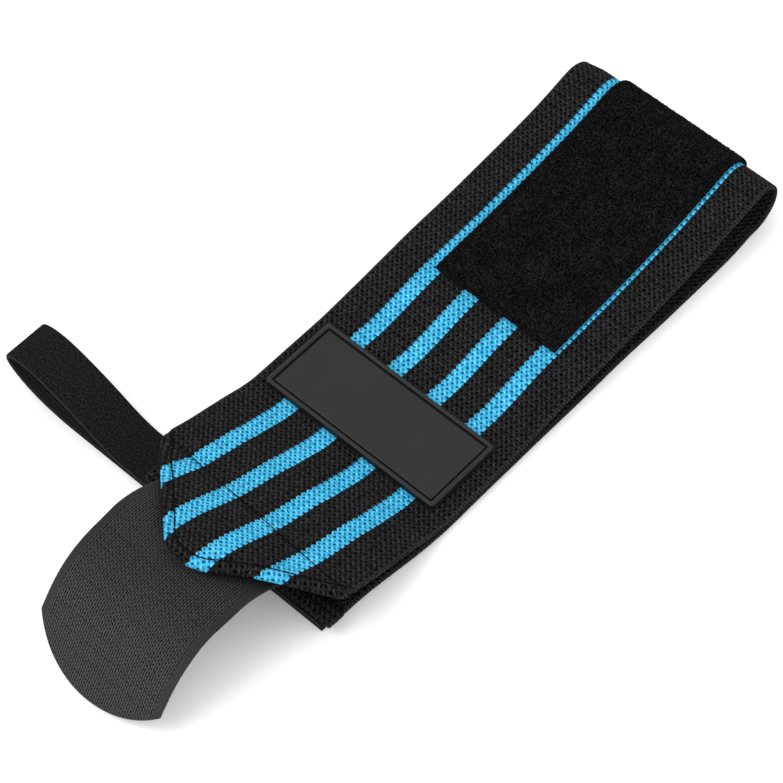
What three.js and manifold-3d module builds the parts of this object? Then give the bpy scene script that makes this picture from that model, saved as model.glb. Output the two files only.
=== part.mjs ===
// Wrist wrap: one elastic band folded in two and lying down, with a loop panel over the fold,
// a rubber patch across the upper layer, a hook tongue under the pointed end and a thumb loop.
// Millimetres. +X runs from the pointed end to the fold, +Y to the thumb loop, +Z up.

import * as THREE from "three";
import Module from "manifold-3d";

const wasm = await Module();
wasm.setup();
const { Manifold, Mesh: SolidMesh } = wasm;

// Driving dimensions
const GAP = 0.3;                // air kept between neighbouring pieces and folded layers
const BAND_HALF = 40.3;         // half the width of the elastic band
const BAND_T = 1.5;             // thickness of the elastic
const BAND_CHAMFER = 0.5;       // soft corner along each selvedge
const STEP = 3.0;               // spacing of the cross sections along the band
const FINE_STEP = 1.5;          // and at the pointed end
const TIP_STEP = 0.5;           // and round a tip or a hem
const FLAT_BELOW = 0.04;        // what comes this close to the ground lies flat on it
const PROFILE_STATIONS = 1600;  // points at which a side profile is measured
const UPRIGHT = 0.999;          // the band counts as standing at the apex of its turned end
const CHAMFER_OF_WIDTH = 0.3;   // a chamfer takes at most this share of a section's width
const CHAMFER_OF_DEPTH = 0.45;  // and this share of its depth
const RING = 8;                 // corners of a chamfered section

const FOLD_X = 128.0;           // axis of the turned end, across the band
const FOLD_R = 10.2;            // outside radius of the turned end
const FOLD_FROM = -90;          // degrees, where the lower layer enters the turn
const FOLD_TO = 103;            // degrees, where the upper layer leaves it
const FOLD_STEPS = 12;
const FOLD_SKEW = 0.014;        // the turned end lies slightly askew
const SKEW_FROM = 95;           // x where the skew starts
const SKEW_TO = 132;            // and where it is full

const HEM_IN = -72.3;           // x of the inner edge of the straight end's turned hem
const HEM_FOLD = 1.4;           // depth of the rounded fold of a hem
const HEM_CHAMFER = 0.2;        // its soft edges
const HEM_BULGE = 1.0;          // the turned hem reaches past the selvedge by this much a side
const END_NARROW = 2.2;         // the sewn straight end is drawn in by this much a side
const END_NARROW_FROM = -26;    // x where the drawing in starts

const POINT_NARROW = 1.3;       // drawing in of the rising end on the thumb loop side
const POINT_WIDEN = 1.2;        // and its reach on the other side
const POINT_NARROW_FROM = -30;  // x where both start
const POINT_NARROW_TO = -60;    // and where they are full
const CORNER_LEFT = -68.6;      // x where the pointed end starts on that side
const CORNER_NIP = 1.1;         // that corner is drawn in and rounded by this much
const CORNER_SOFT = 3.4;        // over this length
const CORNER_RIGHT = -71.8;     // x where it starts on the other side
const TIP_X = -100.2;           // x of the blunt tip
const TIP_LEFT = 4.4;           // the blunt tip runs from here
const TIP_RIGHT = -7.6;         // to here across the band
const TIP_ROUND = 2.4;          // rounding of the blunt tip along x
const TIP_SOFT = 2.2;           // and across
const FLAP_IN_LEFT = -66.5;     // x of the inner edges of the two folded corners
const FLAP_IN_RIGHT = -67.5;
const FLAP_SHORT = 0.4;         // they end this far before the tip
const FLAP_LAP = 0.5;           // overlap of the hanging part with the flat part
const FLAP_CHAMFER = 0.3;
const EDGE_CHAMFER = 0.1;       // soft corner inside the folded edges
const FLAP_MEET = -2.5;         // y of the line where the folded corners meet
const FLAP_HINGE = -26.2;       // y of the line the open right corner hangs from
const FLAP_OPEN = 11;           // length along x over which it stays open
const FLAP_DROOP = 1.6;         // how far it hangs away

const PANEL_T = 1.3;            // loop pile panel
const PANEL_CHAMFER = 0.35;
const PANEL_LEFT = 24.0;
const PANEL_RIGHT = -26.1;
const PANEL_X = 40.5;           // x of its straight end on the upper layer
const PANEL_END = -22;          // degrees round the fold where its hidden end lies

const PATCH_L = 29.6;           // rubber patch along the band
const PATCH_W = 70;             // and across it
const PATCH_T = 2.2;
const PATCH_X = -11.9;
const PATCH_Y = 1.0;
const PATCH_Z = 5.0;            // height of its underside
const PATCH_R = 1.6;            // corner radius
const RIM_R = 1.0;              // corner radius inside the rim
const FIELD_R = 0.6;            // and of the field
const ARC_STEPS = 5;            // facets of each rounded corner
const RIM_W = 1.5;              // raised rim
const RIM_H = 0.45;             // rim above the field
const GROOVE_W = 0.8;           // fine groove inside the rim
const GROOVE_D = 0.35;
const CUT = 2;                  // cutting blocks stand proud by this much

const TONGUE_T = 1.2;           // hook tongue
const TONGUE_HALF = 25.2;
const TONGUE_Y = 0.9;           // it sits a little off the middle of the band
const TONGUE_IN = -64;          // x of its sewn end under the band
const TONGUE_LEAVE = 2;         // it leaves the band this far before the tip
const TONGUE_SPACING = 4;       // points along the sewn part
const TONGUE_R_LEFT = 29;       // radius of its rounded end on the thumb loop side
const TONGUE_R_RIGHT = 33;      // and on the other side
const TONGUE_DROOP = 2.4;       // its right side hangs lower where it leaves the band
const DROOP_FROM = -117;        // x over which it lifts to level
const DROOP_TO = -97;
const TONGUE_STEPS = 30;        // sections along its straight part
const TONGUE_ARC_STEPS = 14;    // and round its end
const TONGUE_LAST = 0.05;       // length of the last short facet at its end
const TONGUE_CHAMFER = 0.25;

const STRAP_T = 1.4;            // thumb loop strap
const STRAP_X0 = -77.6;         // its two edges
const STRAP_X1 = -61.2;
const STRAP_END = -35.5;        // y of its sewn ends
const STRAP_STEPS = 110;
const STRAP_CHAMFER = 0.3;

// Outer face of the band seen from the side, lower layer, from the straight end to the fold
const LOWER = [
  // x, z
  [-77.2, 3.5], [-68, 3.6], [-60, 3.5], [-52, 2.75], [-44, 1.85], [-36, 0.95], [-28, 0.3],
  [-20, 0], [0, 0], [30, 0], [60, 0], [90, 0], [115, 0],
];

// Outer face of the upper layer, from the fold to the tip
const UPPER = [
  // x, z
  [120, 18.7], [110, 16.4], [100, 14.7], [90, 13.3], [80, 12.1], [70, 11.0], [60, 10.1],
  [50, 9.4], [40, 8.6], [30, 7.6], [20, 6.4], [10, 5.3], [4, 4.78], [-2, 4.7], [-12, 4.7],
  [-22, 4.7], [-28, 4.85], [-33, 6.0], [-38, 8.1], [-44, 10.7], [-52, 14.0], [-60, 17.1],
  [-67, 20.1], [-73, 23.5], [-79, 27.2], [-85, 30.7], [-90, 33.0], [-95, 34.4], [-100.2, 34.9],
];

// Upper face of the free part of the tongue, from the tip of the band to the ground
const TONGUE = [
  // x, z
  [-104, 30.5], [-110, 29.7], [-115, 28.1], [-119, 26.0], [-122.5, 23.5], [-126, 20.2],
  [-129, 16.7], [-132, 12.7], [-135, 8.5], [-138, 4.6], [-140.6, 1.35],
];

// Outer face of the thumb loop seen along the band
const STRAP = [
  // y, z
  [STRAP_END, 0], [-10, 0], [15, 0], [40, 0], [60, 0], [72, 0], [80, 0.9], [87, 2.7],
  [92.5, 5.2], [96.6, 8.2], [99, 11.6], [98.6, 14.4], [95, 16.3], [89, 16.9], [83, 15.9],
  [77, 14.0], [70, 11.4], [64, 8.7], [58, 5.8], [52, 3.9], [45, 3.15], [36, 3.1], [15, 3.1],
  [-10, 3.1], [STRAP_END, 3.1],
];

// A run of cross sections along a side profile. Each holds a point, the direction along the
// profile and the direction into the fold.
function run(points, count) {
  const curve = new THREE.CatmullRomCurve3(points, false, "centripetal");
  curve.arcLengthDivisions = 2 * PROFILE_STATIONS;
  curve.updateArcLengths();
  const stations = [];
  for (let i = 0; i <= count; i += 1) {
    const u = i / count;
    const at = curve.getPointAt(u);
    const along = curve.getTangentAt(u);
    if (at.z < FLAT_BELOW) {
      at.z = 0;
      along.z = 0;
      along.normalize();
    }
    stations.push({ at, along, length: curve.getLength() * u });
  }
  return stations;
}

function bandPoints() {
  const points = LOWER.map(([x, z]) => new THREE.Vector3(x, 0, z));
  for (let i = 0; i <= FOLD_STEPS; i += 1) {
    const a = THREE.MathUtils.degToRad(FOLD_FROM + ((FOLD_TO - FOLD_FROM) * i) / FOLD_STEPS);
    points.push(new THREE.Vector3(FOLD_X + FOLD_R * Math.cos(a), 0, FOLD_R + FOLD_R * Math.sin(a)));
  }
  UPPER.forEach(([x, z]) => points.push(new THREE.Vector3(x, 0, z)));
  return points;
}

// A closed strip: every section is a chamfered rectangle between two sides and two depths.
// A section gives its point, its inward direction, its across direction and its limits.
function strip(sections, chamfer) {
  const position = [];
  const index = [];
  sections.forEach((s) => {
    const width = (s.left - s.right) * CHAMFER_OF_WIDTH;
    const depth = (s.deepLeft - s.topLeft) * CHAMFER_OF_DEPTH;
    const c = Math.min(chamfer, width, depth);
    const corners = [
      [s.left - c, s.topLeft], [s.left, s.topLeft + c],
      [s.left, s.deepLeft - c], [s.left - c, s.deepLeft],
      [s.right + c, s.deepRight], [s.right, s.deepRight - c],
      [s.right, s.topRight + c], [s.right + c, s.topRight],
    ];
    corners.forEach(([side, deep]) => {
      const p = s.at.clone().addScaledVector(s.across, side).addScaledVector(s.inward, deep);
      position.push(p.x, p.y, p.z);
    });
  });
  for (let i = 0; i + 1 < sections.length; i += 1) {
    for (let k = 0; k < RING; k += 1) {
      const a = i * RING + k;
      const b = i * RING + ((k + 1) % RING);
      index.push(a, b, a + RING, b, b + RING, a + RING);
    }
  }
  const last = (sections.length - 1) * RING;
  for (let k = 1; k + 1 < RING; k += 1) {
    index.push(0, k + 1, k);
    index.push(last, last + k, last + k + 1);
  }
  const geometry = new THREE.BufferGeometry();
  geometry.setAttribute("position", new THREE.Float32BufferAttribute(position, 3));
  geometry.setIndex(index);
  return faceOut(geometry);
}

// Turns every face outward when the enclosed volume comes out negative
function faceOut(geometry) {
  const p = geometry.getAttribute("position");
  const idx = geometry.getIndex().array;
  const a = new THREE.Vector3();
  const b = new THREE.Vector3();
  const c = new THREE.Vector3();
  let volume = 0;
  for (let i = 0; i < idx.length; i += 3) {
    a.fromBufferAttribute(p, idx[i]);
    b.fromBufferAttribute(p, idx[i + 1]);
    c.fromBufferAttribute(p, idx[i + 2]);
    volume += a.dot(b.clone().cross(c));
  }
  if (volume < 0) {
    for (let i = 0; i < idx.length; i += 3) {
      const keep = idx[i + 1];
      idx[i + 1] = idx[i + 2];
      idx[i + 2] = keep;
    }
  }
  return geometry;
}

function toSolid(geometry) {
  const p = geometry.getAttribute("position");
  return new Manifold(new SolidMesh({
    numProp: 3,
    vertProperties: new Float32Array(p.array),
    triVerts: new Uint32Array(geometry.getIndex().array),
  }));
}

function fromSolid(solid) {
  const mesh = solid.getMesh();
  const geometry = new THREE.BufferGeometry();
  const xyz = [];
  for (let i = 0; i < mesh.numVert; i += 1) {
    const k = i * mesh.numProp;
    xyz.push(mesh.vertProperties[k], mesh.vertProperties[k + 1], mesh.vertProperties[k + 2]);
  }
  geometry.setAttribute("position", new THREE.Float32BufferAttribute(xyz, 3));
  geometry.setIndex(Array.from(mesh.triVerts));
  return geometry;
}

function join(parts) {
  return fromSolid(Manifold.union(parts.map(toSolid)));
}

// Direction across the band, a little askew at the fold
function acrossAt(x) {
  return new THREE.Vector3(FOLD_SKEW * THREE.MathUtils.smoothstep(x, SKEW_FROM, SKEW_TO), 1, 0);
}

// Turns a station of the band into a section between two sides and two depths
function section(s, left, right, top, deep, droop = 0) {
  const inward = new THREE.Vector3(-s.along.z, 0, s.along.x);
  return {
    at: s.at, across: acrossAt(s.at.x), inward, left, right,
    topLeft: top, deepLeft: deep, topRight: top + droop, deepRight: deep + droop,
  };
}

// Half width of the lower layer: the sewn end is drawn in
function lowerHalf(x) {
  const t = THREE.MathUtils.smoothstep(-x, -END_NARROW_FROM, -LOWER[0][0]);
  return BAND_HALF - END_NARROW * t;
}

// Sides of the pointed end: two straight diagonals and a rounded blunt tip
function pointSides(x) {
  const near = Math.max(0, TIP_X + TIP_ROUND - x) / TIP_ROUND;
  const soft = TIP_SOFT * (1 - Math.sqrt(Math.max(0, 1 - near * near)));
  const rise = THREE.MathUtils.smoothstep(-x, -POINT_NARROW_FROM, -POINT_NARROW_TO);
  const nip = CORNER_NIP * Math.exp(-(((x - CORNER_LEFT) / CORNER_SOFT) ** 2));
  const kLeft = THREE.MathUtils.clamp((CORNER_LEFT - x) / (CORNER_LEFT - TIP_X), 0, 1);
  const kRight = THREE.MathUtils.clamp((CORNER_RIGHT - x) / (CORNER_RIGHT - TIP_X), 0, 1);
  return {
    left: THREE.MathUtils.lerp(BAND_HALF - POINT_NARROW * rise, TIP_LEFT, kLeft) - nip - soft,
    right: THREE.MathUtils.lerp(-BAND_HALF - POINT_WIDEN * rise, TIP_RIGHT, kRight) + soft,
  };
}

const bandCurve = run(bandPoints(), PROFILE_STATIONS);
const bandTotal = bandCurve[bandCurve.length - 1].length;
const foldApex = bandCurve.findIndex((s) => s.along.z > UPRIGHT);

// Picks stations of the band between two places along it, evenly spaced
function between(from, to, spacing) {
  const count = Math.max(2, Math.round(Math.abs(to - from) / spacing));
  const picked = [];
  for (let i = 0; i <= count; i += 1) {
    const at = from + ((to - from) * i) / count;
    const k = THREE.MathUtils.clamp((at / bandTotal) * (bandCurve.length - 1), 0, bandCurve.length - 1);
    const low = Math.min(Math.floor(k), bandCurve.length - 2);
    const f = k - low;
    const a = bandCurve[low];
    const b = bandCurve[low + 1];
    picked.push({
      at: a.at.clone().lerp(b.at, f),
      along: a.along.clone().lerp(b.along, f).normalize(),
      length: at,
    });
  }
  return picked;
}

// Distance along the band of a given x on the lower or the upper layer
function lengthAt(x, upper) {
  const part = bandCurve.filter((s, i) => (upper ? i > foldApex : i < foldApex));
  let best = part[0];
  part.forEach((s) => {
    if (Math.abs(s.at.x - x) < Math.abs(best.at.x - x)) best = s;
  });
  return best.length;
}

function bandMesh() {
  const corner = lengthAt(CORNER_LEFT + 2 * CORNER_SOFT, true);
  const body = between(0, corner, STEP).map((s) => {
    const half = lowerHalf(s.at.x);
    const lower = s.length < bandCurve[foldApex].length;
    const sides = lower ? { left: half, right: -half } : pointSides(s.at.x);
    return section(s, sides.left, sides.right, 0, BAND_T);
  });
  const nearTip = lengthAt(TIP_X + TIP_ROUND, true);
  const stations = between(corner, nearTip, FINE_STEP).slice(1)
    .concat(between(nearTip, bandTotal, TIP_STEP).slice(1));
  stations.forEach((s) => {
    const sides = pointSides(s.at.x);
    body.push(section(s, sides.left, sides.right, 0, BAND_T));
  });
  const parts = [strip(body, BAND_CHAMFER)];

  // Straight end: the hem is turned over onto the upper face
  const deep = 2 * BAND_T + GAP;
  const hemHalf = lowerHalf(LOWER[0][0]) + HEM_BULGE;
  const hem = between(0, lengthAt(HEM_IN, false), FINE_STEP)
    .map((s) => section(s, hemHalf, -hemHalf, BAND_T + GAP, deep));
  const bead = between(0, HEM_FOLD, TIP_STEP)
    .map((s) => section(s, hemHalf, -hemHalf, 0, deep));
  parts.push(strip(hem, BAND_CHAMFER), strip(bead, HEM_CHAMFER));

  // Pointed end: both corners are folded under and meet near the middle
  const flapEnd = bandTotal - FLAP_SHORT;
  const leftFlap = between(lengthAt(FLAP_IN_LEFT, true), flapEnd, FINE_STEP).map((s) => {
    const sides = pointSides(s.at.x);
    return section(s, sides.left, FLAP_MEET + GAP, BAND_T + GAP, deep);
  });
  const rightFlap = between(lengthAt(FLAP_IN_RIGHT, true), flapEnd, FINE_STEP).map((s) => {
    const sides = pointSides(s.at.x);
    return section(s, FLAP_MEET - GAP, Math.max(sides.right, FLAP_HINGE), BAND_T + GAP, deep);
  });
  const hangTo = CORNER_RIGHT - FLAP_OPEN;
  const hanging = between(lengthAt(FLAP_IN_RIGHT, true), lengthAt(hangTo, true), FINE_STEP).map((s) => {
    const sides = pointSides(s.at.x);
    const open = 1 - THREE.MathUtils.smoothstep(CORNER_RIGHT - s.at.x, 0, FLAP_OPEN);
    return section(s, FLAP_HINGE + FLAP_LAP, sides.right, BAND_T + GAP, deep, FLAP_DROOP * open);
  });
  parts.push(...[leftFlap, rightFlap, hanging].map((flap) => strip(flap, FLAP_CHAMFER)));
  const leftEdge = between(lengthAt(CORNER_LEFT - CORNER_SOFT / 2, true), flapEnd, FINE_STEP).map((s) => {
    const sides = pointSides(s.at.x);
    return section(s, sides.left, sides.left - HEM_FOLD, GAP, deep - GAP);
  });
  const rightEdge = between(lengthAt(hangTo + FINE_STEP, true), flapEnd, FINE_STEP).map((s) => {
    const sides = pointSides(s.at.x);
    return section(s, sides.right + HEM_FOLD, sides.right, GAP, deep - GAP);
  });
  parts.push(strip(leftEdge, EDGE_CHAMFER), strip(rightEdge, EDGE_CHAMFER));
  return join(parts);
}

// The loop panel follows the outer face over the fold
function panelMesh() {
  const drop = FOLD_R + FOLD_R * Math.sin(THREE.MathUtils.degToRad(PANEL_END));
  const ahead = bandCurve.filter((s, i) => i < foldApex && s.at.x > FOLD_X && s.at.z < drop);
  const from = ahead[ahead.length - 1].length;
  const sections = between(from, lengthAt(PANEL_X, true), STEP)
    .map((s) => section(s, PANEL_LEFT, PANEL_RIGHT, -GAP - PANEL_T, -GAP));
  return strip(sections, PANEL_CHAMFER);
}

function roundedRect(length, width, radius) {
  const shape = new THREE.Shape();
  const x = length / 2;
  const y = width / 2;
  shape.moveTo(-x + radius, -y);
  shape.lineTo(x - radius, -y);
  shape.absarc(x - radius, -y + radius, radius, -Math.PI / 2, 0, false);
  shape.lineTo(x, y - radius);
  shape.absarc(x - radius, y - radius, radius, 0, Math.PI / 2, false);
  shape.lineTo(-x + radius, y);
  shape.absarc(-x + radius, y - radius, radius, Math.PI / 2, Math.PI, false);
  shape.lineTo(-x, -y + radius);
  shape.absarc(-x + radius, -y + radius, radius, Math.PI, Math.PI * 1.5, false);
  return shape;
}

function plate(length, width, radius, height, z) {
  const shape = roundedRect(length, width, radius);
  const options = { depth: height, bevelEnabled: false, curveSegments: ARC_STEPS };
  const geometry = new THREE.ExtrudeGeometry(shape, options);
  geometry.deleteAttribute("normal");
  geometry.deleteAttribute("uv");
  geometry.translate(0, 0, z);
  return toSolid(weld(geometry));
}

// Joins the doubled corners of an extruded shape
function weld(geometry) {
  const p = geometry.getAttribute("position");
  const seen = new Map();
  const xyz = [];
  const index = [];
  for (let i = 0; i < p.count; i += 1) {
    const key = [p.getX(i), p.getY(i), p.getZ(i)].map((v) => v.toFixed(4)).join(" ");
    if (!seen.has(key)) {
      seen.set(key, xyz.length / 3);
      xyz.push(p.getX(i), p.getY(i), p.getZ(i));
    }
    index.push(seen.get(key));
  }
  const welded = new THREE.BufferGeometry();
  welded.setAttribute("position", new THREE.Float32BufferAttribute(xyz, 3));
  welded.setIndex(index);
  return welded;
}

// The patch: a plate with a raised rim, a fine groove inside it and a bare flat field
function patchMesh() {
  const inL = PATCH_L - 2 * RIM_W;
  const inW = PATCH_W - 2 * RIM_W;
  const field = PATCH_T - RIM_H;
  let solid = plate(PATCH_L, PATCH_W, PATCH_R, PATCH_T, 0);
  solid = solid.subtract(plate(inL, inW, RIM_R, RIM_H + CUT, field));
  const groove = plate(inL, inW, RIM_R, GROOVE_D + CUT, field - GROOVE_D)
    .subtract(plate(inL - 2 * GROOVE_W, inW - 2 * GROOVE_W, FIELD_R, 3 * CUT, field - CUT));
  solid = solid.subtract(groove);
  const geometry = fromSolid(solid);
  geometry.translate(PATCH_X, PATCH_Y, PATCH_Z);
  return geometry;
}

// The tongue lies against the folded corners, leaves them at the tip and arches to the ground
function tongueMesh() {
  const depth = 2 * BAND_T + 2 * GAP;
  const points = [];
  between(lengthAt(TONGUE_IN, true), bandTotal - TONGUE_LEAVE, TONGUE_SPACING).forEach((s) => {
    const inward = new THREE.Vector3(-s.along.z, 0, s.along.x);
    points.push(s.at.clone().addScaledVector(inward, depth));
  });
  TONGUE.forEach(([x, z]) => points.push(new THREE.Vector3(x, 0, z)));
  const stations = run(points, PROFILE_STATIONS);
  const total = stations[PROFILE_STATIONS].length;
  const turn = Math.asin(TONGUE_HALF / TONGUE_R_LEFT);
  const round = TONGUE_R_LEFT * (1 - Math.cos(turn));
  const places = [];
  for (let i = 0; i < TONGUE_STEPS; i += 1) {
    places.push(((total - round) * i) / TONGUE_STEPS);
  }
  for (let i = 0; i < TONGUE_ARC_STEPS; i += 1) {
    places.push(total - TONGUE_R_LEFT * (1 - Math.cos(turn * (1 - i / TONGUE_ARC_STEPS))));
  }
  places.push(total - TONGUE_LAST);
  const sections = places.map((at) => {
    const s = stations[Math.round((at / total) * PROFILE_STATIONS)];
    const droop = TONGUE_DROOP * THREE.MathUtils.smoothstep(s.at.x, DROOP_FROM, DROOP_TO);
    const left = TONGUE_Y + endHalf(total - at, TONGUE_R_LEFT);
    const right = TONGUE_Y - endHalf(total - at, TONGUE_R_RIGHT);
    return section(s, left, right, 0, TONGUE_T, droop);
  });
  return strip(sections, TONGUE_CHAMFER);
}

// Half width of the tongue at a distance from its rounded end
function endHalf(distance, radius) {
  const chord = distance < radius ? Math.sqrt(2 * radius * distance - distance * distance) : radius;
  return Math.min(TONGUE_HALF, chord);
}

// The thumb loop: a strap doubled under the straight end, open as a teardrop beside it
function thumbMesh() {
  const points = STRAP.map(([y, z]) => new THREE.Vector3(0, y, z));
  const sections = run(points, STRAP_STEPS).map((s) => {
    const inward = new THREE.Vector3(0, -s.along.z, s.along.y);
    return {
      at: s.at, across: new THREE.Vector3(1, 0, 0), inward,
      left: STRAP_X1, right: STRAP_X0,
      topLeft: 0, deepLeft: STRAP_T, topRight: 0, deepRight: STRAP_T,
    };
  });
  return strip(sections, STRAP_CHAMFER);
}

function piece(name, geometry, color, roughness) {
  const material = new THREE.MeshStandardMaterial({ color, roughness, metalness: 0 });
  const mesh = new THREE.Mesh(geometry, material);
  mesh.name = name;
  return mesh;
}

const group = new THREE.Group();
group.name = "wrist_wrap";
group.add(piece("band", bandMesh(), 0x1c1c1e, 0.9));
group.add(piece("loop_panel", panelMesh(), 0x0e0e0f, 1.0));
group.add(piece("patch", patchMesh(), 0x242527, 0.5));
group.add(piece("hook_tongue", tongueMesh(), 0x3c3c3e, 0.7));
group.add(piece("thumb_loop", thumbMesh(), 0x1a1a1b, 0.95));

export default group;
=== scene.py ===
import math
from typing import NamedTuple

import bmesh
import bpy
import numpy as np
from bpy.props import FloatProperty, FloatVectorProperty, IntProperty, PointerProperty
from mathutils import Matrix, Vector, noise


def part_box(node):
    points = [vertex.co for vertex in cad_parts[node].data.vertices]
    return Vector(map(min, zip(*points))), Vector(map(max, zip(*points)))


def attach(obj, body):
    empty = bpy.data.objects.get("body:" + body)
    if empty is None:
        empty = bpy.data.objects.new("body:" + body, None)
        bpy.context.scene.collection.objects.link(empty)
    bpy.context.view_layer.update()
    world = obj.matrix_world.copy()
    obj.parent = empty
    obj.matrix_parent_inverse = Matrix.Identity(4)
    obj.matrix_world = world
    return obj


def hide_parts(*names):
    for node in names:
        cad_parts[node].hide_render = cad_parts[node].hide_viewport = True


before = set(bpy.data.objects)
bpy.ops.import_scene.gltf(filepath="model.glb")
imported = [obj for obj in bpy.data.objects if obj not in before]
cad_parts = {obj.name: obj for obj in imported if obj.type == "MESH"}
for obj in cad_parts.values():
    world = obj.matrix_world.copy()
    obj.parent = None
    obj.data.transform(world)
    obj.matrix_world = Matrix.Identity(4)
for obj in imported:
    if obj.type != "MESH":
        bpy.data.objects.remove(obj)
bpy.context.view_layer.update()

bl_info = {
    "name": "Wrist wrap",
    "version": (1, 0, 0),
    "blender": (4, 5, 0),
    "location": "View3D > Sidebar > Wrist wrap",
    "description": "Models a folded elastic wrist wrap with a thumb loop and a hook tongue",
    "category": "Add Mesh",
}

MM = 0.001
NEAR = 1e-7

# Outer face of the band from the side, x and z in millimetres: lower layer, turn, upper layer
LOWER_FACE = (
    (-77.2, 3.5), (-68, 3.6), (-60, 3.5), (-52, 2.75), (-44, 1.85), (-36, 0.95), (-28, 0.3),
    (-20, 0), (0, 0), (30, 0), (60, 0), (90, 0), (115, 0),
)
FOLD_AXIS = (128.0, 10.2)
FOLD_RADIUS = 10.2
FOLD_FROM, FOLD_TO, FOLD_STEPS = -90, 103, 12
UPPER_FACE = (
    (120, 18.7), (110, 16.4), (100, 14.7), (90, 13.3), (80, 12.1), (70, 11.0), (60, 10.1),
    (50, 9.4), (40, 8.6), (30, 7.6), (20, 6.4), (10, 5.3), (4, 4.78), (-2, 4.7), (-12, 4.7),
    (-22, 4.7), (-28, 4.85), (-33, 6.0), (-38, 8.1), (-44, 10.7), (-52, 14.0), (-60, 17.1),
    (-67, 20.1), (-73, 23.5), (-79, 27.2), (-85, 30.7), (-90, 33.0), (-95, 34.4), (-100.2, 34.9),
)
# Upper face of the free part of the tongue
TONGUE_FACE = (
    (-104, 30.5), (-110, 29.7), (-115, 28.1), (-119, 26.0), (-122.5, 23.5), (-126, 20.2),
    (-129, 16.7), (-132, 12.7), (-135, 8.5), (-138, 4.6), (-140.6, 1.35),
)
# Outer face of the thumb loop seen along the band, y and z
STRAP_FACE = (
    (-35.5, 0), (-10, 0), (15, 0), (40, 0), (60, 0), (72, 0), (80, 0.9), (87, 2.7),
    (92.5, 5.2), (96.6, 8.2), (99, 11.6), (98.6, 14.4), (95, 16.3), (89, 16.9), (83, 15.9),
    (77, 14.0), (70, 11.4), (64, 8.7), (58, 5.8), (52, 3.9), (45, 3.15), (36, 3.1), (15, 3.1),
    (-10, 3.1), (-35.5, 3.1),
)
FLAT_BELOW = 0.04 * MM      # what comes this close to the ground lies on it
FOLD_SKEW = 0.014           # the turned end lies slightly askew
SKEW_FROM, SKEW_TO = 95 * MM, 132 * MM


def srgb(red, green, blue):
    """A screen colour of 0 to 255 as the linear colour a shader takes."""
    def linear(value):
        part = value / 255
        return part / 12.92 if part <= 0.04045 else ((part + 0.055) / 1.055) ** 2.4
    return linear(red), linear(green), linear(blue)


def smoothstep(value, low, high):
    t = np.clip((value - low) / (high - low), 0, 1)
    return t * t * (3 - 2 * t)


def length(label, description, millimetres):
    """A size that a user may change."""
    return FloatProperty(name=label, description=description, default=millimetres * MM,
                         unit="LENGTH", precision=5)


def colour(label, description, red, green, blue):
    """A colour that a user may change, from screen values of 0 to 255."""
    return FloatVectorProperty(name=label, description=description, size=3, subtype="COLOR",
                               default=srgb(red, green, blue))


def angle(label, description, degrees):
    """An angle that a user may change."""
    return FloatProperty(name=label, description=description, default=math.radians(degrees),
                         subtype="ANGLE")


class WrapSettings(bpy.types.PropertyGroup):
    """Sizes and colours of the wrist wrap."""

    band_wall: length("Elastic", "Thickness of the elastic", 1.5)
    gap: length("Gap", "Air between folded layers", 0.3)
    mesh_step: length("Mesh step", "Spacing of the band's mesh", 1.4)
    hem_reach: length("Hem base", "Distance from an outer edge to the flat cloth", 5.6)
    flap_reach: length("Folded corner", "Width of the corners folded under", 13)
    hem_turn: length("Straight hem", "Length turned over at the straight end", 4.2)
    panel_wall: length("Panel", "Thickness of the loop panel", 1.3)
    tongue_wall: length("Tongue", "Thickness of the hook tongue", 1.2)
    strap_wall: length("Strap", "Thickness of the thumb strap", 1.4)
    pile_loops: IntProperty(name="Pile loops", description="Loops standing on the panel",
                            default=7200, min=0)
    weave_along: length("Weave along", "Repeat of the weave along the band", 2.41)
    weave_across: length("Weave across", "Repeat of the weave across the band", 2.04)
    stripe_pitch: length("Stripe pitch", "Distance between stripe centres", 16.28)
    stripe_half: length("Stripe half width", "Half the width of a stripe", 2.87)
    black_yarn: colour("Black yarn", "Colour of the band", 28, 28, 29)
    # The stripes are one blue yarn painted in three tones: lit by a painted highlight, less lit,
    # and painted shade in its gaps
    stripe_yarn: colour("Stripe yarn", "Colour of the stripes", 104, 203, 237)
    stripe_low: colour("Stripe low", "Colour low on the stripe yarns", 24, 142, 185)
    stripe_shade: colour("Stripe shade", "Colour between the stripe yarns", 0, 74, 118)
    pile_yarn: colour("Pile", "Colour of the loop pile", 20, 20, 20)
    rubber: colour("Rubber", "Colour of the patch", 18, 18, 19)
    tape: colour("Hook tape", "Colour of the tongue", 37, 37, 37)
    strap: colour("Strap felt", "Colour of the thumb strap", 23, 23, 23)
    thread: colour("Thread", "Colour of the sewing thread", 13, 13, 14)
    camera_lens: FloatProperty(name="Lens", description="Focal length on a 36 mm sensor",
                               default=115.675)
    camera_distance: length("Distance", "Camera to target", 794.8)
    camera_azimuth: angle("Azimuth", "Camera round the object", -47.94)
    camera_elevation: angle("Elevation", "Camera above the floor", 56.28)


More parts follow.
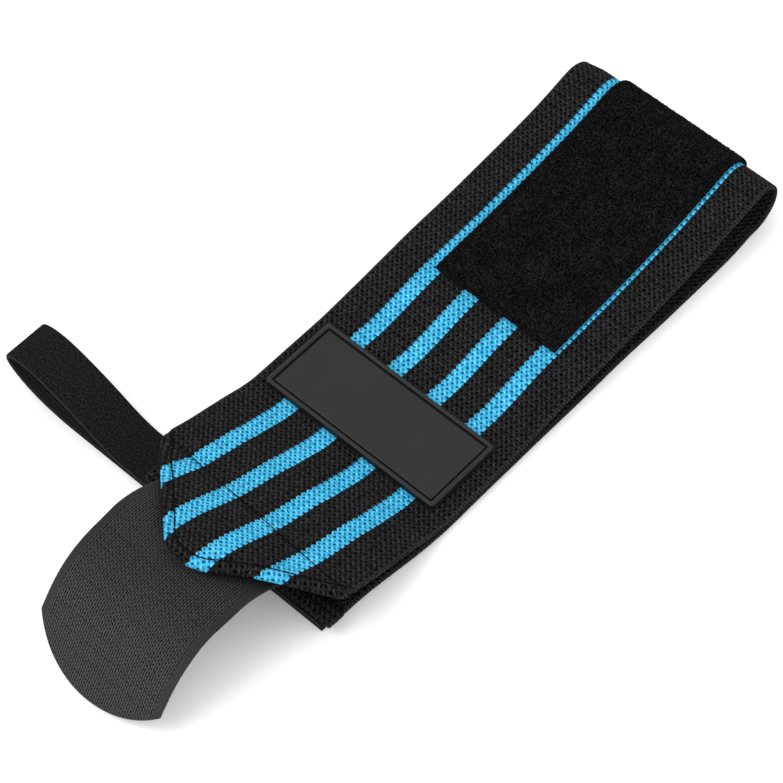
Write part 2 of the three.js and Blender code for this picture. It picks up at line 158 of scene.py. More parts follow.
class Course:
    """A side profile followed by its length, smoothed through points in millimetres."""

    def __init__(self, points):
        line = smooth_line(np.array(points, float) * MM)
        line[:, 1] = np.where(line[:, 1] < FLAT_BELOW, 0, line[:, 1])
        step = np.hypot(*np.diff(line, axis=0).T)
        self.line = line
        self.place = np.concatenate(([0.0], np.cumsum(step)))
        slope = np.gradient(line, self.place, axis=0)
        self.slope = slope / np.hypot(slope[:, 0], slope[:, 1])[:, None]
        self.length = float(self.place[-1])
        self.turn = int(np.argmax(line[:, 0]))

    def at(self, place):
        """Points and directions at distances along the profile, straight on past its ends."""
        slope = np.stack([np.interp(place, self.place, self.slope[:, k]) for k in (0, 1)], 1)
        slope /= np.hypot(slope[:, 0], slope[:, 1])[:, None]
        point = np.stack([np.interp(place, self.place, self.line[:, k]) for k in (0, 1)], 1)
        past = place - np.clip(place, 0, self.length)
        return point + slope * past[:, None], slope

    def place_of(self, first, upper=True):
        """Distance along the profile of a first coordinate, before or after the turn."""
        if upper:
            return float(np.interp(-first, -self.line[self.turn:, 0], self.place[self.turn:]))
        return float(np.interp(first, self.line[:self.turn, 0], self.place[:self.turn]))


def smooth_line(points, samples=16):
    """Centripetal curve through the points."""
    ends = np.vstack((2 * points[0] - points[1], points, 2 * points[-1] - points[-2]))
    t = np.linspace(0, 1, samples, endpoint=False)[:, None]
    line = []
    for a, b, c, d in zip(ends, ends[1:], ends[2:], ends[3:]):
        ab, bc, cd = (math.sqrt(np.hypot(*(q - p))) for p, q in ((a, b), (b, c), (c, d)))
        leave = ((b - a) / ab - (c - a) / (ab + bc) + (c - b) / bc) * bc
        reach = ((c - b) / bc - (d - b) / (bc + cd) + (d - c) / cd) * bc
        line.append(
            b + leave * t + (3 * (c - b) - 2 * leave - reach) * t ** 2
            + (2 * (b - c) + leave + reach) * t ** 3
        )
    return np.vstack((*line, points[-1:]))


def band_face():
    """Points of the band's outer face, from the straight end over the turn to the tip."""
    points = list(LOWER_FACE)
    for i in range(FOLD_STEPS + 1):
        a = math.radians(FOLD_FROM + (FOLD_TO - FOLD_FROM) * i / FOLD_STEPS)
        points.append((FOLD_AXIS[0] + FOLD_RADIUS * math.cos(a),
                       FOLD_AXIS[1] + FOLD_RADIUS * math.sin(a)))
    return points + list(UPPER_FACE)


BAND = Course(band_face())
STRAP = Course(STRAP_FACE)
APEX = float(BAND.place[BAND.turn])
BAND_HALF = 40.3 * MM
END_NARROW, END_NARROW_FROM, END_X = 2.2 * MM, 26 * MM, 77.2 * MM
HEM_BULGE = 1.0 * MM         # the straight hem reaches past the selvedge
STITCH_INSET = 3.15 * MM     # hem stitches from the edge
STITCH_PITCH, STITCH_THICK = 2.4 * MM, 0.3 * MM
STITCH_HALF = 0.54           # half a stitch in pitches: neighbours overlap a little
STITCH_SUNK, HEM_SUNK = 0.28 * MM, 0.2 * MM  # their groove at the pointed and the straight end
SEAM_HALF, SEAM_SUNK = 0.45 * MM, 0.3 * MM
SEAM_LEFT, SEAM_RIGHT, SEAM_END = -67.5 * MM, -71.6 * MM, 37 * MM
STRIPES_FROM = 21 * MM       # the straight end is black up to here
# Sideways wander of the stripes along the upper layer: x and shift in millimetres
STRIPE_WANDER = (
    (120, 0.0), (100, 0.0), (60, 0.03), (45, 0.18), (36, 0.4), (30, 0.33), (22, 0.08),
    (13, -0.02), (6, 0.5), (-2, 0.5), (-20, 0.3), (-36, 0.03), (-44, 0.08), (-52, 0.58),
    (-60, 0.63), (-68, 0.53), (-100, 0.43),
)
POINT_NARROW, POINT_WIDEN, RISE_FROM, RISE_TO = 1.3 * MM, 1.2 * MM, 30 * MM, 60 * MM
CORNER_LEFT, CORNER_RIGHT = -68.6 * MM, -71.8 * MM
CORNER_NIP, CORNER_SOFT = 1.1 * MM, 3.4 * MM
FOLD_ROUND = 1.2 * MM        # the turned end's left corner is rounded by this much
LOWER_SHIFT = 0.7 * MM       # the lower layer lies a little to the right before the turn
ROLL_SPREAD = 0.6            # the outside of a rolled hem is this much longer than its middle
ROLL_STEPS, FLAP_STEP = 7, 3 * MM  # rings of a hem's roll, and spacing on its flap
POINT_PUFF, STRAIGHT_PUFF = 0.14 * MM, 0.1 * MM  # fullness of the two hems
HIDDEN_APART = 120 * 2.41 * MM  # folded corners lie this much further along on the cloth's map
# Unevenness of cloth: length and height of its waves, and a seed
UPPER_WAVE = (34 * MM, 0.3 * MM, 1.3)
WIDTH_WAVE = (26 * MM, 0.006, 5.1)
TONGUE_WAVE = (22 * MM, 0.4 * MM, 2.9)
PILE_WAVES = ((0.9 * MM, 0.24 * MM, 3.1), (2.6 * MM, 0.1 * MM, 8.7))
TIP_LEFT, TIP_RIGHT = 4.4 * MM, -7.6 * MM
TIP_CUT = 1.1 * MM           # corners of the blunt tip are rounded by this much
FLAP_DROOP, FLAP_OPEN, FLAP_HINGE = 1.6 * MM, 12 * MM, -26.2 * MM
PANEL_LEFT, PANEL_RIGHT, PANEL_X, PANEL_END = 24.0 * MM, -26.1 * MM, 40.5 * MM, -22
TONGUE_HALF, TONGUE_Y, TONGUE_IN = 25.2 * MM, 0.9 * MM, -64 * MM
TONGUE_R_LEFT, TONGUE_R_RIGHT = 29 * MM, 33 * MM
TONGUE_DROOP, DROOP_FROM, DROOP_TO = 2.4 * MM, -117 * MM, -97 * MM
STRAP_X0, STRAP_X1 = -77.6 * MM, -61.2 * MM
RIM_ROWS = (0.1 * MM, 0.3 * MM, 0.7 * MM)  # mesh rows beside a rounded edge
RIM_LEAST = 0.3              # share of the wall left at the very edge
SHORT_EDGE = 0.3 * MM        # cuts closer than this to the mesh are welded to it
PANEL_STEP, TONGUE_STEP, STRAP_STEP = 0.5 * MM, 0.9 * MM, 0.8 * MM  # mesh spacing
# Where slow changes of the band start and end, across it or along it
NIP_ACROSS, ROUND_ACROSS = (15 * MM, 36 * MM), (32 * MM, BAND_HALF)
SHIFT_IN, SHIFT_OUT = (50 * MM, 85 * MM), (112 * MM, 128 * MM)
WAVES_IN, WAVES_OUT = (APEX + 20 * MM, APEX + 60 * MM), (66 * MM, 90 * MM)
PATCH_AHEAD, PATCH_BEHIND = (4 * MM, 16 * MM), (28 * MM, 38 * MM)
TONGUE_LEAVES, TONGUE_LANDS = (42 * MM, 60 * MM), 8 * MM  # waves of the tongue, its end level
# The band's ribbed selvedge, and the strip of painted highlight along the strap's edges
SELVEDGE, STRAP_EDGE_HIGHLIGHT = (38.9 * MM, 39.4 * MM), (7.95 * MM, 8.15 * MM)


def inward_of(slope):
    return np.stack((-slope[:, 1], slope[:, 0]), 1)


def lay_on_band(flat, wall):
    """Lays flat points (along, across, lift) on the band, lifted from the middle of its wall."""
    point, slope = BAND.at(flat[:, 0])
    lower = flat[:, 0] < APEX
    x = point[:, 0]
    y = flat[:, 1] * (1 + wavy(flat * (1, 0, 0), *WIDTH_WAVE))
    end = END_NARROW * smoothstep(-x, END_NARROW_FROM, END_X)
    rise = np.where(y > 0, POINT_NARROW, -POINT_WIDEN) * smoothstep(-x, RISE_FROM, RISE_TO)
    y = y * (1 - np.where(lower, end, rise) / BAND_HALF)
    nip = CORNER_NIP * np.exp(-((x - CORNER_LEFT) / CORNER_SOFT) ** 2)
    nip = nip * smoothstep(y, *NIP_ACROSS)
    shift = LOWER_SHIFT * smoothstep(x, *SHIFT_IN) * (1 - smoothstep(x, *SHIFT_OUT))
    y = y - np.where(lower, shift, nip)
    lift = flat[:, 2] + slow_wave(flat, x)
    place = point + inward_of(slope) * (wall / 2 - lift)[:, None]
    turned = smoothstep(x, SKEW_FROM, SKEW_TO)
    askew = FOLD_SKEW * turned * y - FOLD_ROUND * turned * smoothstep(y, *ROUND_ACROSS)
    return np.stack((place[:, 0] + askew, y, place[:, 1]), 1)


def slow_wave(flat, x):
    """Slow waves of the upper layer, level under the patch and weaker towards the tip."""
    upper = smoothstep(flat[:, 0], *WAVES_IN)
    level = smoothstep(x, *PATCH_AHEAD) + smoothstep(-x, *PATCH_BEHIND)
    weaker = 1 - 0.5 * smoothstep(-x, *WAVES_OUT)
    return upper * level * weaker * wavy(flat * (1, 1, 0), *UPPER_WAVE)


def tongue_course(wall, gap):
    """The tongue follows the underside of the folded corners and leaves them at the tip."""
    depth = 2 * wall + 2 * gap
    first, last = BAND.place_of(TONGUE_IN), BAND.length - 2 * MM
    count = max(2, round((last - first) / (4 * MM)))
    point, slope = BAND.at(np.linspace(first, last, count + 1))
    under = (point + inward_of(slope) * depth) / MM
    return Course([tuple(p) for p in under] + list(TONGUE_FACE))


def lay_on_tongue(flat, course, wall):
    point, slope = course.at(flat[:, 0])
    droop = TONGUE_DROOP * smoothstep(point[:, 0], DROOP_FROM, DROOP_TO)
    depth = wall / 2 - flat[:, 2] + droop * (0.5 - flat[:, 1] / (2 * TONGUE_HALF))
    place = point + inward_of(slope) * depth[:, None]
    return np.stack((place[:, 0], flat[:, 1] + TONGUE_Y, place[:, 1]), 1)


def lay_on_strap(flat, wall):
    point, slope = STRAP.at(flat[:, 0])
    place = point + inward_of(slope) * (wall / 2 - flat[:, 2])[:, None]
    return np.stack((flat[:, 1] + (STRAP_X0 + STRAP_X1) / 2, place[:, 0], place[:, 1]), 1)


def points_of(bm):
    return np.array([v.co for v in bm.verts], float)


def move_points(bm, points):
    for vert, place in zip(bm.verts, points):
        vert.co = place


def flat_cloth(first, last, right, left, step):
    """A flat grid of cloth, along x and across y."""
    bm = bmesh.new()
    along, across = (max(2, round(size / step)) for size in (last - first, left - right))
    bmesh.ops.create_grid(bm, x_segments=along, y_segments=across, size=0.5)
    bmesh.ops.scale(bm, verts=bm.verts, vec=(last - first, left - right, 1))
    bmesh.ops.translate(bm, verts=bm.verts, vec=((first + last) / 2, (right + left) / 2, 0))
    return bm


def cut(bm, line, clear=True):
    """Cuts the cloth along a line given by a point and its outward direction."""
    geom = bm.verts[:] + bm.edges[:] + bm.faces[:]
    bmesh.ops.bisect_plane(bm, geom=geom, dist=NEAR, plane_co=line[0], plane_no=line[1],
                           clear_outer=clear)


def on_line(line, vert):
    return abs((vert.co - line[0]).dot(line[1])) < 10 * NEAR


def weld_short(bm, lines):
    """Merges the ends of short edges, as long as no end leaves one of the lines."""
    on = {v: {k for k, line in enumerate(lines) if on_line(line, v)} for v in bm.verts}
    while True:
        merged, used = {}, set()
        for edge in bm.edges:
            first, second = edge.verts
            if edge.calc_length() > SHORT_EDGE or first in used or second in used:
                continue
            if on[first] <= on[second]:
                merged[first] = second
            elif on[second] <= on[first]:
                merged[second] = first
            else:
                continue
            used.update(edge.verts)
        if not merged:
            return
        bmesh.ops.weld_verts(bm, targetmap=merged)


def side_rows(half, insets=RIM_ROWS):
    """Lines of the mesh rows beside both long edges."""
    return [(Vector((0, side * (half - inset), 0)), Vector((0, side, 0)))
            for side in (-1, 1) for inset in insets]


def edge_share(distance):
    """Share of the wall at distances from a rounded edge."""
    inside = np.clip(np.asarray(distance) / RIM_ROWS[-1], 0, 1)
    return np.round(np.maximum(np.sqrt(1 - (1 - inside) ** 2), RIM_LEAST), 3)


def unwrap(bm, hidden=()):
    """Keeps the flat cut as the cloth's map, hidden corners set apart, and returns its area."""
    layer = bm.loops.layers.uv.new("cloth")
    for face in bm.faces:
        apart = all(v in hidden for v in face.verts)
        for loop in face.loops:
            loop[layer].uv = loop.vert.co.xy + Vector((HIDDEN_APART if apart else 0, 0))
    bm.normal_update()
    bmesh.ops.reverse_faces(bm, faces=[f for f in bm.faces if f.normal.z < 0])
    return sum(f.calc_area() for f in bm.faces)


def line_through(a, b):
    """Line from a to b, with its outward direction on the left."""
    way = (Vector(b) - Vector(a)).normalized()
    return Vector((*a, 0)), Vector((-way.y, way.x, 0))


def shifted(line, distance):
    return line[0] - line[1] * distance, line[1]


class Fold(NamedTuple):
    """One corner of a hem: out from its base by a reach, lifted, spread on the map."""
    vert: bmesh.types.BMVert
    base: Vector
    out: Vector
    slide: Vector
    reach: float
    lift: float
    spread: float


def extrude_hem(bm, lines, steps):
    """Extrudes the edges on the hem lines ring by ring, and returns how each corner folds."""
    ring = [e for e in bm.edges if e.is_boundary
            and any(on_line(line, e.verts[0]) and on_line(line, e.verts[1]) for line in lines)]
    way = {}
    for vert in {v for e in ring for v in e.verts}:
        normals = [line[1] for line in lines if on_line(line, vert)]
        out, slide = normals[0], Vector((0, 0, 0))
        if len(normals) > 1:
            out = (normals[0] + normals[1]) / (1 + normals[0].dot(normals[1]))
        elif abs(out.y) > 0.01:
            away = (BAND_HALF - abs(vert.co.y)) / abs(out.x)
            slide = (Vector((1 / out.x, 0, 0)) - out) * max(0, 1 - away / (2 * steps[-1][0]))
        way[vert] = (vert.co.copy(), out, slide)
    folds = []
    for step in steps:
        before = {tuple(v.co): v for e in ring for v in e.verts}
        made = bmesh.ops.extrude_edge_only(bm, edges=ring)["geom"]
        fresh = [g for g in made if isinstance(g, bmesh.types.BMVert)]
        for vert in fresh:
            way[vert] = way[before[tuple(vert.co)]]
            folds.append(Fold(vert, *way[vert], *step))
        for fold in folds[-len(fresh):]:
            fold.vert.co = fold.base + (fold.out + fold.slide) * fold.spread
        new = set(fresh)
        ring = [g for g in made if isinstance(g, bmesh.types.BMEdge) and new.issuperset(g.verts)]
    return folds


def fold_hem(folds, start, radius):
    """Rolls the extruded rings over the hem line and under the cloth."""
    for fold in folds:
        turned = min(max(fold.reach - start, 0) / radius, math.pi)
        run = min(fold.reach, start) + (radius + fold.lift) * math.sin(turned)
        run -= max(fold.reach - start - math.pi * radius, 0)
        fold.vert.co = fold.base + fold.slide * fold.reach + fold.out * run
        fold.vert.co.z = fold.lift * math.cos(turned) - radius * (1 - math.cos(turned))


# Rings of a sewn groove: distance from the stitches in millimetres and share of its depth
GROOVE_RINGS = ((-0.6, 0.1), (-0.25, 0.75), (0, 1), (0.3, 0.6))


def hem_steps(start, radius, flap, stitch, sink, puff):
    """Rings of a hem, its groove, full edge, roll and flap, as reach, lift and spread."""
    roll = math.pi * radius
    steps = [(stitch * 0.4, 0.0)]
    steps += [(stitch + beside * MM, -share * sink) for beside, share in GROOVE_RINGS]
    steps += [(start - 0.2 * MM, 0.5 * puff)]
    steps += [(start + roll * k / ROLL_STEPS, puff) for k in range(ROLL_STEPS + 1)]
    count = max(2, round(flap / FLAP_STEP))
    steps += [(start + roll + flap * (k + 1) / count, 0.0) for k in range(count)]
    return [(reach, lift, reach + ROLL_SPREAD * min(max(reach - start, 0), roll))
            for reach, lift in steps]


def wavy(points, size, height, seed):
    """Slow unevenness of cloth at given points."""
    shift = Vector((seed, 2.3 * seed, 0.7 * seed))
    return np.array([height * noise.noise(Vector(p) / size + shift) for p in points])


def shown(name, bm, materials, stands_for=None):
    """Makes the finished mesh an object of the wrap that rides on its body."""
    mesh = bpy.data.meshes.new(name)
    bm.to_mesh(mesh)
    bm.free()
    return shown_mesh(name, mesh, materials, stands_for)


def shown_mesh(name, mesh, materials, stands_for=None):
    for material in materials:
        mesh.materials.append(material)
    mesh.polygons.foreach_set("use_smooth", [True] * len(mesh.polygons))
    piece = bpy.data.objects.new(name, mesh)
    bpy.context.scene.collection.objects.link(piece)
    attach(piece, "root")
    if stands_for:
        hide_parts(stands_for)
    return piece


def thicken(piece, wall, inner=0, shares=None):
    """Gives flat cloth its wall, thinned towards rounded edges where shares are given."""
    solid = piece.modifiers.new("wall", "SOLIDIFY")
    solid.thickness = wall
    solid.offset = 0
    solid.material_offset = inner
    solid.material_offset_rim = 0
    if shares is not None:
        group = piece.vertex_groups.new(name="wall")
        for share in np.unique(shares):
            group.add(np.nonzero(shares == share)[0].tolist(), float(share), "REPLACE")
        solid.vertex_group = group.name


def soften(piece, edge, segments):
    """Rounds the edges of a cloth's wall."""
    soft = piece.modifiers.new("soft edge", "BEVEL")
    soft.width = edge
    soft.segments = segments
    soft.limit_method = "ANGLE"
    soft.angle_limit = math.radians(60)
    soft.harden_normals = False


def closed(template):
    """Fills the open ends of a small shape and turns its faces outwards."""
    bmesh.ops.holes_fill(template, edges=[e for e in template.edges if e.is_boundary])
    bmesh.ops.recalc_face_normals(template, faces=template.faces)
    return template


def placed(place, *axes):
    """The matrix that sets a small shape at a place, along three axes."""
    matrix = Matrix.Translation(place)
    for k, axis in enumerate(axes):
        matrix.col[k][:3] = axis
    return np.array(matrix)


def repeat(name, template, places, material):
    """One joined mesh of many copies of a small template, each set by a matrix."""
    bmesh.ops.triangulate(template, faces=template.faces)
    template.verts.index_update()
    corners = np.array([(*v.co, 1) for v in template.verts])
    faces = np.array([[v.index for v in f.verts] for f in template.faces])
    template.free()
    moved = np.einsum("nij,kj->nki", np.array(places), corners)[:, :, :3]
    offset = np.arange(len(places))[:, None, None] * len(corners)
    mesh = bpy.data.meshes.new(name)
    mesh.from_pydata(moved.reshape(-1, 3), [], (faces[None] + offset).reshape(-1, 3))
    mesh.validate()
    return shown_mesh(name, mesh, [material])


class Value:
    """What a node puts out, so that sums on it are written as they are read."""

    def __init__(self, nodes, socket):
        self.nodes = nodes
        self.socket = socket

    def __add__(self, other):
        return self.nodes.math("ADD", self, other)

    def __sub__(self, other):
        return self.nodes.math("SUBTRACT", self, other)

    def __rsub__(self, other):
        return self.nodes.math("SUBTRACT", other, self)

    def __mul__(self, other):
        return self.nodes.math("MULTIPLY", self, other)

    def __truediv__(self, other):
        return self.nodes.math("DIVIDE", self, other)

    def __rtruediv__(self, other):
        return self.nodes.math("DIVIDE", other, self)

    def __abs__(self):
        return self.nodes.math("ABSOLUTE", self)


class Nodes:
    """Adds nodes to a tree in a row and links them."""

    def __init__(self, tree):
        self.tree = tree

    def add(self, kind, inputs=None, **settings):
        """A new node with its settings, its inputs fed by number or name."""
        made = self.tree.nodes.new(kind)
        made.location = (200 * (len(self.tree.nodes) % 12), -260 * (len(self.tree.nodes) // 12))
        for key, value in settings.items():
            setattr(made, key, value)
        for key, value in (inputs or {}).items():
            self.feed(made.inputs[key], value)
        return made

    def feed(self, socket, value):
        if isinstance(value, Value):
            self.tree.links.new(value.socket, socket)
        elif socket.type == "RGBA":
            socket.default_value = (*value, 1)
        else:
            socket.default_value = value

    def out(self, node, key=0):
        return Value(self, node.outputs[key])

    def outs(self, node):
        """All that a node puts out, by name."""
        return {socket.name: Value(self, socket) for socket in node.outputs}

    def math(self, operation, *values):
        return self.out(self.add("ShaderNodeMath", dict(enumerate(values)), operation=operation))

    def step(self, value, low, high, out_low=0.0, out_high=1.0):
        inputs = dict(enumerate((value, low, high, out_low, out_high)))
        return self.out(self.add("ShaderNodeMapRange", inputs, interpolation_type="SMOOTHSTEP"))

    def wave(self, place, pitch, shape="SINE"):
        """A wave between -1 and 1 that repeats at a pitch."""
        return self.math(shape, place * (2 * math.pi / pitch))

    def blend(self, factor, first, second):
        """Blend of two values."""
        return (second - first) * factor + first

    def curve(self, value, points):
        """A value led along a smooth curve through points between 0 and 1."""
        made = self.add("ShaderNodeFloatCurve", {"Value": value})
        line = made.mapping.curves[0]
        line.points[0].location = points[0]
        line.points[-1].location = points[-1]
        for point in points[1:-1]:
            line.points.new(*point)
        made.mapping.update()
        return self.out(made)

    def mix(self, factor, first, second, blend="MIX"):
        inputs = {0: factor, 6: first, 7: second}
        return self.out(self.add("ShaderNodeMix", inputs, data_type="RGBA", blend_type=blend), 2)

    def shaded(self, factor, tint, low, high):
        """A colour between a low and a high share of it."""
        return self.mix(factor, times(tint, low), times(tint, high))

    def toned(self, tint, tone):
        """A colour multiplied by a value."""
        grey = self.add("ShaderNodeCombineColor", {0: tone, 1: tone, 2: tone})
        return self.mix(1.0, tint, self.out(grey), "MULTIPLY")

    def noise(self, vector, scale, detail=2.0, roughness=0.5, key="Fac"):
        inputs = {"Vector": vector, "Scale": scale, "Detail": detail, "Roughness": roughness}
        return self.out(self.add("ShaderNodeTexNoise", inputs), key)

    def stretch(self, vector, along, across):
        inputs = {0: vector, 1: (along, across, 1)}
        return self.out(self.add("ShaderNodeVectorMath", inputs, operation="MULTIPLY"))

    def split(self, vector):
        made = self.add("ShaderNodeSeparateXYZ", {0: vector})
        return [self.out(made, k) for k in range(3)]

    def cloth_map(self):
        return self.out(self.add("ShaderNodeUVMap", uv_map="cloth"))

    def place(self):
        return self.out(self.add("ShaderNodeTexCoord"), "Object")

    def group(self, make, **inputs):
        """The group that a function of that name makes on first use."""
        tree = bpy.data.node_groups.get(make.__name__) or make()
        return self.outs(self.add("ShaderNodeGroup", inputs, node_tree=tree))

    def weave(self, flat, along, across, jitter, gap):
        made = self.group(woven_cells, Vector=flat, Along=along, Across=across,
                          Jitter=jitter, Gap=gap)
        return made["Relief"], made["Hole"]

    def fibre(self, vector, slow, fine):
        made = self.group(fibre_shade, Vector=vector, Slow=slow, Fine=fine)
        return made["Shade"], made["Fuzz"]

    def bump(self, height, strength, distance):
        inputs = {"Height": height, "Strength": strength, "Distance": distance}
        return self.out(self.add("ShaderNodeBump", inputs), "Normal")


class Finish(Nodes):
    """A new material with its nodes."""

    def __init__(self, name, specular):
        self.material = bpy.data.materials.new(name)
        self.material.use_nodes = True
        super().__init__(self.material.node_tree)
        self.shader = self.tree.nodes["Principled BSDF"].inputs
        self.feed(self.shader["Specular IOR Level"], specular)

    def done(self, tint, roughness, normal=None):
        """Feeds the shader and returns the material."""
        self.feed(self.shader["Base Color"], tint)
        self.feed(self.shader["Roughness"], roughness)
        if normal:
            self.feed(self.shader["Normal"], normal)
        return self.material


def times(tint, share):
    return tuple(share * c for c in tint)


def new_group(name, inputs, outputs):
    """A shader group of a vector and values, its nodes, what comes in and what it puts out."""
    tree = bpy.data.node_groups.new(name, "ShaderNodeTree")
    tree.interface.new_socket(name="Vector", in_out="INPUT", socket_type="NodeSocketVector")
    for way, labels in (("INPUT", inputs), ("OUTPUT", outputs)):
        for label in labels:
            tree.interface.new_socket(name=label, in_out=way, socket_type="NodeSocketFloat")
    n = Nodes(tree)
    return tree, n, n.outs(n.add("NodeGroupInput")), n.add("NodeGroupOutput").inputs


# Slanted ovals in one repeat of the weave: middle along and across, slant, half width, half height
LARGE_HOLE = (0.0, 0.0, -0.1, 0.19, 0.23)
SMALL_HOLE = (0.5, 0.5, 0.5, 0.15, 0.25)
# LIT_YARN marks the painted highlight on the yarn beside each large hole
LIT_YARN = (-0.32, -0.2, 0.3, 0.24, 0.34)


def woven_cells():
    """Weave of yarns round large and small holes: Relief is 1 on a lit yarn, where colour takes a
    painted highlight, and Hole is 1 in a gap.
    """
    given = ("Along", "Across", "Jitter", "Gap")
    tree, n, source, out = new_group("woven_cells", given, ("Relief", "Hole"))
    flat = n.split(source["Vector"])
    pulled = n.split(n.noise(source["Vector"], 1.3 / source["Along"], detail=1.0, key="Color"))
    place = [(flat[k] + (pulled[k] - 0.5) * source["Jitter"]) / source[given[k]] for k in (0, 1)]
    size = pulled[2] * 1.2 + 0.4

    def away(along, across, slant, wide, tall):
        """Distance from the nearest oval, 1 on its outline."""
        ends = []
        for axis, middle in zip(place, (along, across)):
            moved = axis - middle
            ends.append(moved - n.math("ROUND", moved))
        slid, high = (ends[1] * slant + ends[0]) / wide, ends[1] / tall
        return n.math("SQRT", slid * slid + high * high)

    large, small = (n.step(away(*oval) * size / source["Gap"], 1.2, 0.5)
                    for oval in (LARGE_HOLE, SMALL_HOLE))
    n.feed(out["Hole"], n.math("MAXIMUM", large, small * 0.8))
    # Relief: painted highlight on the lit yarn plus a random tone
    n.feed(out["Relief"], n.step(away(*LIT_YARN), 1.25, 0.1) * 0.6 + pulled[1] * 0.6)
    return tree


def fibre_shade():
    """Unevenness of yarn and rubber: slow shade changes and fine fuzz, both round a half."""
    tree, n, source, out = new_group("fibre_shade", ("Slow", "Fine"), ("Shade", "Fuzz"))
    n.feed(out["Shade"], n.step(n.noise(source["Vector"], source["Slow"], 3.0), 0.3, 0.7))
    n.feed(out["Fuzz"], n.step(n.noise(source["Vector"], source["Fine"], 3.0, 0.65), 0.28, 0.72))
    return tree


def band_weave(wrap):
    """Black elastic weave with four blue stripes along it and a ribbed selvedge."""
    n = Finish("band_weave", specular=0.02)
    flat = n.cloth_map()
    along, across, _ = n.split(flat)
    relief, hole = n.weave(flat, wrap.weave_along, wrap.weave_across, jitter=0.45 * MM, gap=1.1)
    shade, fuzz = n.fibre(flat, slow=90.0, fine=1700.0)
    stripe = blue_stripes(n, wrap, along, across)
    selvedge = n.step(abs(across), *SELVEDGE)
    relief = n.blend(selvedge, relief, n.wave(along, 0.5 * wrap.weave_along) * 0.35 + 0.5)
    hole = n.math("MAXIMUM", hole * (1.0 - selvedge), hem_slits(n, wrap, along, across))
    # Painted highlight and shade: each yarn colour runs from a darker to a lighter tone along
    # Relief, lit yarns and selvedge ribs lightest, with painted shade in the holes
    dark = n.mix(hole, n.shaded(relief, wrap.black_yarn, 0.5, 2.6), times(wrap.black_yarn, 0.03))
    bright = n.mix(hole, n.mix(relief, wrap.stripe_low, wrap.stripe_yarn), wrap.stripe_shade)
    fluff = n.blend(stripe, fuzz * 1.8 + 0.1, fuzz * 0.4 + 0.8)
    tint = n.toned(n.mix(stripe, dark, bright), (shade * 0.16 + 0.92) * fluff)
    height = fuzz * 0.3 + (relief - hole * 0.8)
    return n.done(tint, fuzz * 0.25 + 0.7, n.bump(height, 0.9, 0.4 * MM))


def blue_stripes(n, wrap, along, across):
    """1 on the four toothed stripes, which spare the straight hem and the folded corners."""
    places = [BAND.place_of(x * MM) for x, _ in STRIPE_WANDER]
    first, span = places[0], places[-1] - places[0]
    points = [((place - first) / span, 0.5 + shift / 2)
              for place, (_, shift) in zip(places, STRIPE_WANDER)]
    wander = n.curve((along - first) / span, points) * (2 * MM) - 1 * MM
    middle = (across - wander) / wrap.stripe_pitch
    off = (n.math("FRACT", middle) - 0.5) * wrap.stripe_pitch
    tooth = abs(n.wave(along, 2 * wrap.weave_along))
    reach = n.step(off, -0.5 * MM, 0.5 * MM, 0.45 * MM, 0.85 * MM)
    edge = (0.55 - tooth) * reach + abs(off)
    stripe = n.step(edge, wrap.stripe_half + 0.12 * MM, wrap.stripe_half - 0.12 * MM)
    inside = n.math("LESS_THAN", abs(across), 2.1 * wrap.stripe_pitch)
    ahead = n.math("GREATER_THAN", along, STRIPES_FROM)
    before = n.math("LESS_THAN", along, BAND.length + 40 * MM)
    return stripe * (inside * (ahead * before))


def hem_slits(n, wrap, along, across):
    """1 in the row of slits where the weave is pulled open over the straight hem."""
    reach = n.step(abs(along - 0.9 * MM), 1.2 * MM, 0.8 * MM)
    return reach * n.step(n.wave(across, wrap.weave_across, "COSINE"), 0.25, 0.6)


def panel_pile(wrap):
    """Very dark brushed loop pile on a thin woven ground."""
    n = Finish("panel_pile", specular=0.01)
    place = n.place()
    shade, fuzz = n.fibre(place, slow=140.0, fine=1500.0)
    curls = n.step(n.noise(place, 1500.0, 3.0, 0.75), 0.38, 0.62)
    tint = n.toned(n.shaded(curls, wrap.pile_yarn, 0.12, 2.5), shade * 0.4 + 0.8)
    return n.done(tint, fuzz * 0.1 + 0.9, n.bump(fuzz * 0.6 + curls, 0.8, 0.5 * MM))


def moulded_rubber(wrap):
    """Satin moulded rubber with a faint grain."""
    n = Finish("moulded_rubber", specular=0.3)
    shade, fuzz = n.fibre(n.place(), slow=60.0, fine=2200.0)
    tint = n.shaded(shade, wrap.rubber, 0.86, 1.12)
    return n.done(tint, fuzz * 0.14 + 0.42, n.bump(fuzz, 0.25, 0.06 * MM))


def tape_back(wrap):
    """Woven back of hook tape: rows of dashes between cross grooves, with painted shade darkening
    it to the sewn end.
    """
    n = Finish("tape_back", specular=0.12)
    flat = n.cloth_map()
    along, across, _ = n.split(flat)
    _, fuzz = n.fibre(flat, slow=110.0, fine=2100.0)
    relief, hole = n.weave(flat, 1.45 * MM, 1.6 * MM, jitter=0.5 * MM, gap=1.35)
    drift = n.noise(n.stretch(flat, 1.0, 0.35), 240.0) - 0.5
    row = n.wave(along * 40.0 + (drift * 0.5 + across / (0.8 * MM)), 1.0, "COSINE")
    groove_at = n.math("FRACT", drift * 0.16 + along / (5.2 * MM))
    groove = n.step(abs(groove_at - 0.5), 0.06, 0.015)
    dashes = row * 0.55 + (relief * 0.4 + 0.5) - hole * 0.7 - groove * 0.18
    margin = n.step(abs(across), TONGUE_HALF - 3.0 * MM, TONGUE_HALF - 2.4 * MM)
    relief = n.blend(margin, dashes, n.wave(along, 0.66 * MM) * 0.14 + 0.36)
    # Painted highlight: the weave's lit yarns lighten the tape along with its rows of dashes
    light = n.step(fuzz * 0.4 + relief * 0.8, 0.0, 1.1)
    # Painted shade: the tape darkens to two thirds towards the sewn end, where less light reaches
    # it
    sewn = n.step(along, 44 * MM, 70 * MM, 0.66, 1.0)
    tint = n.toned(n.shaded(light, wrap.tape, 0.04, 3.1), sewn)
    return n.done(tint, fuzz * 0.2 + 0.62, n.bump(fuzz * 0.25 + relief, 0.6, 0.22 * MM))


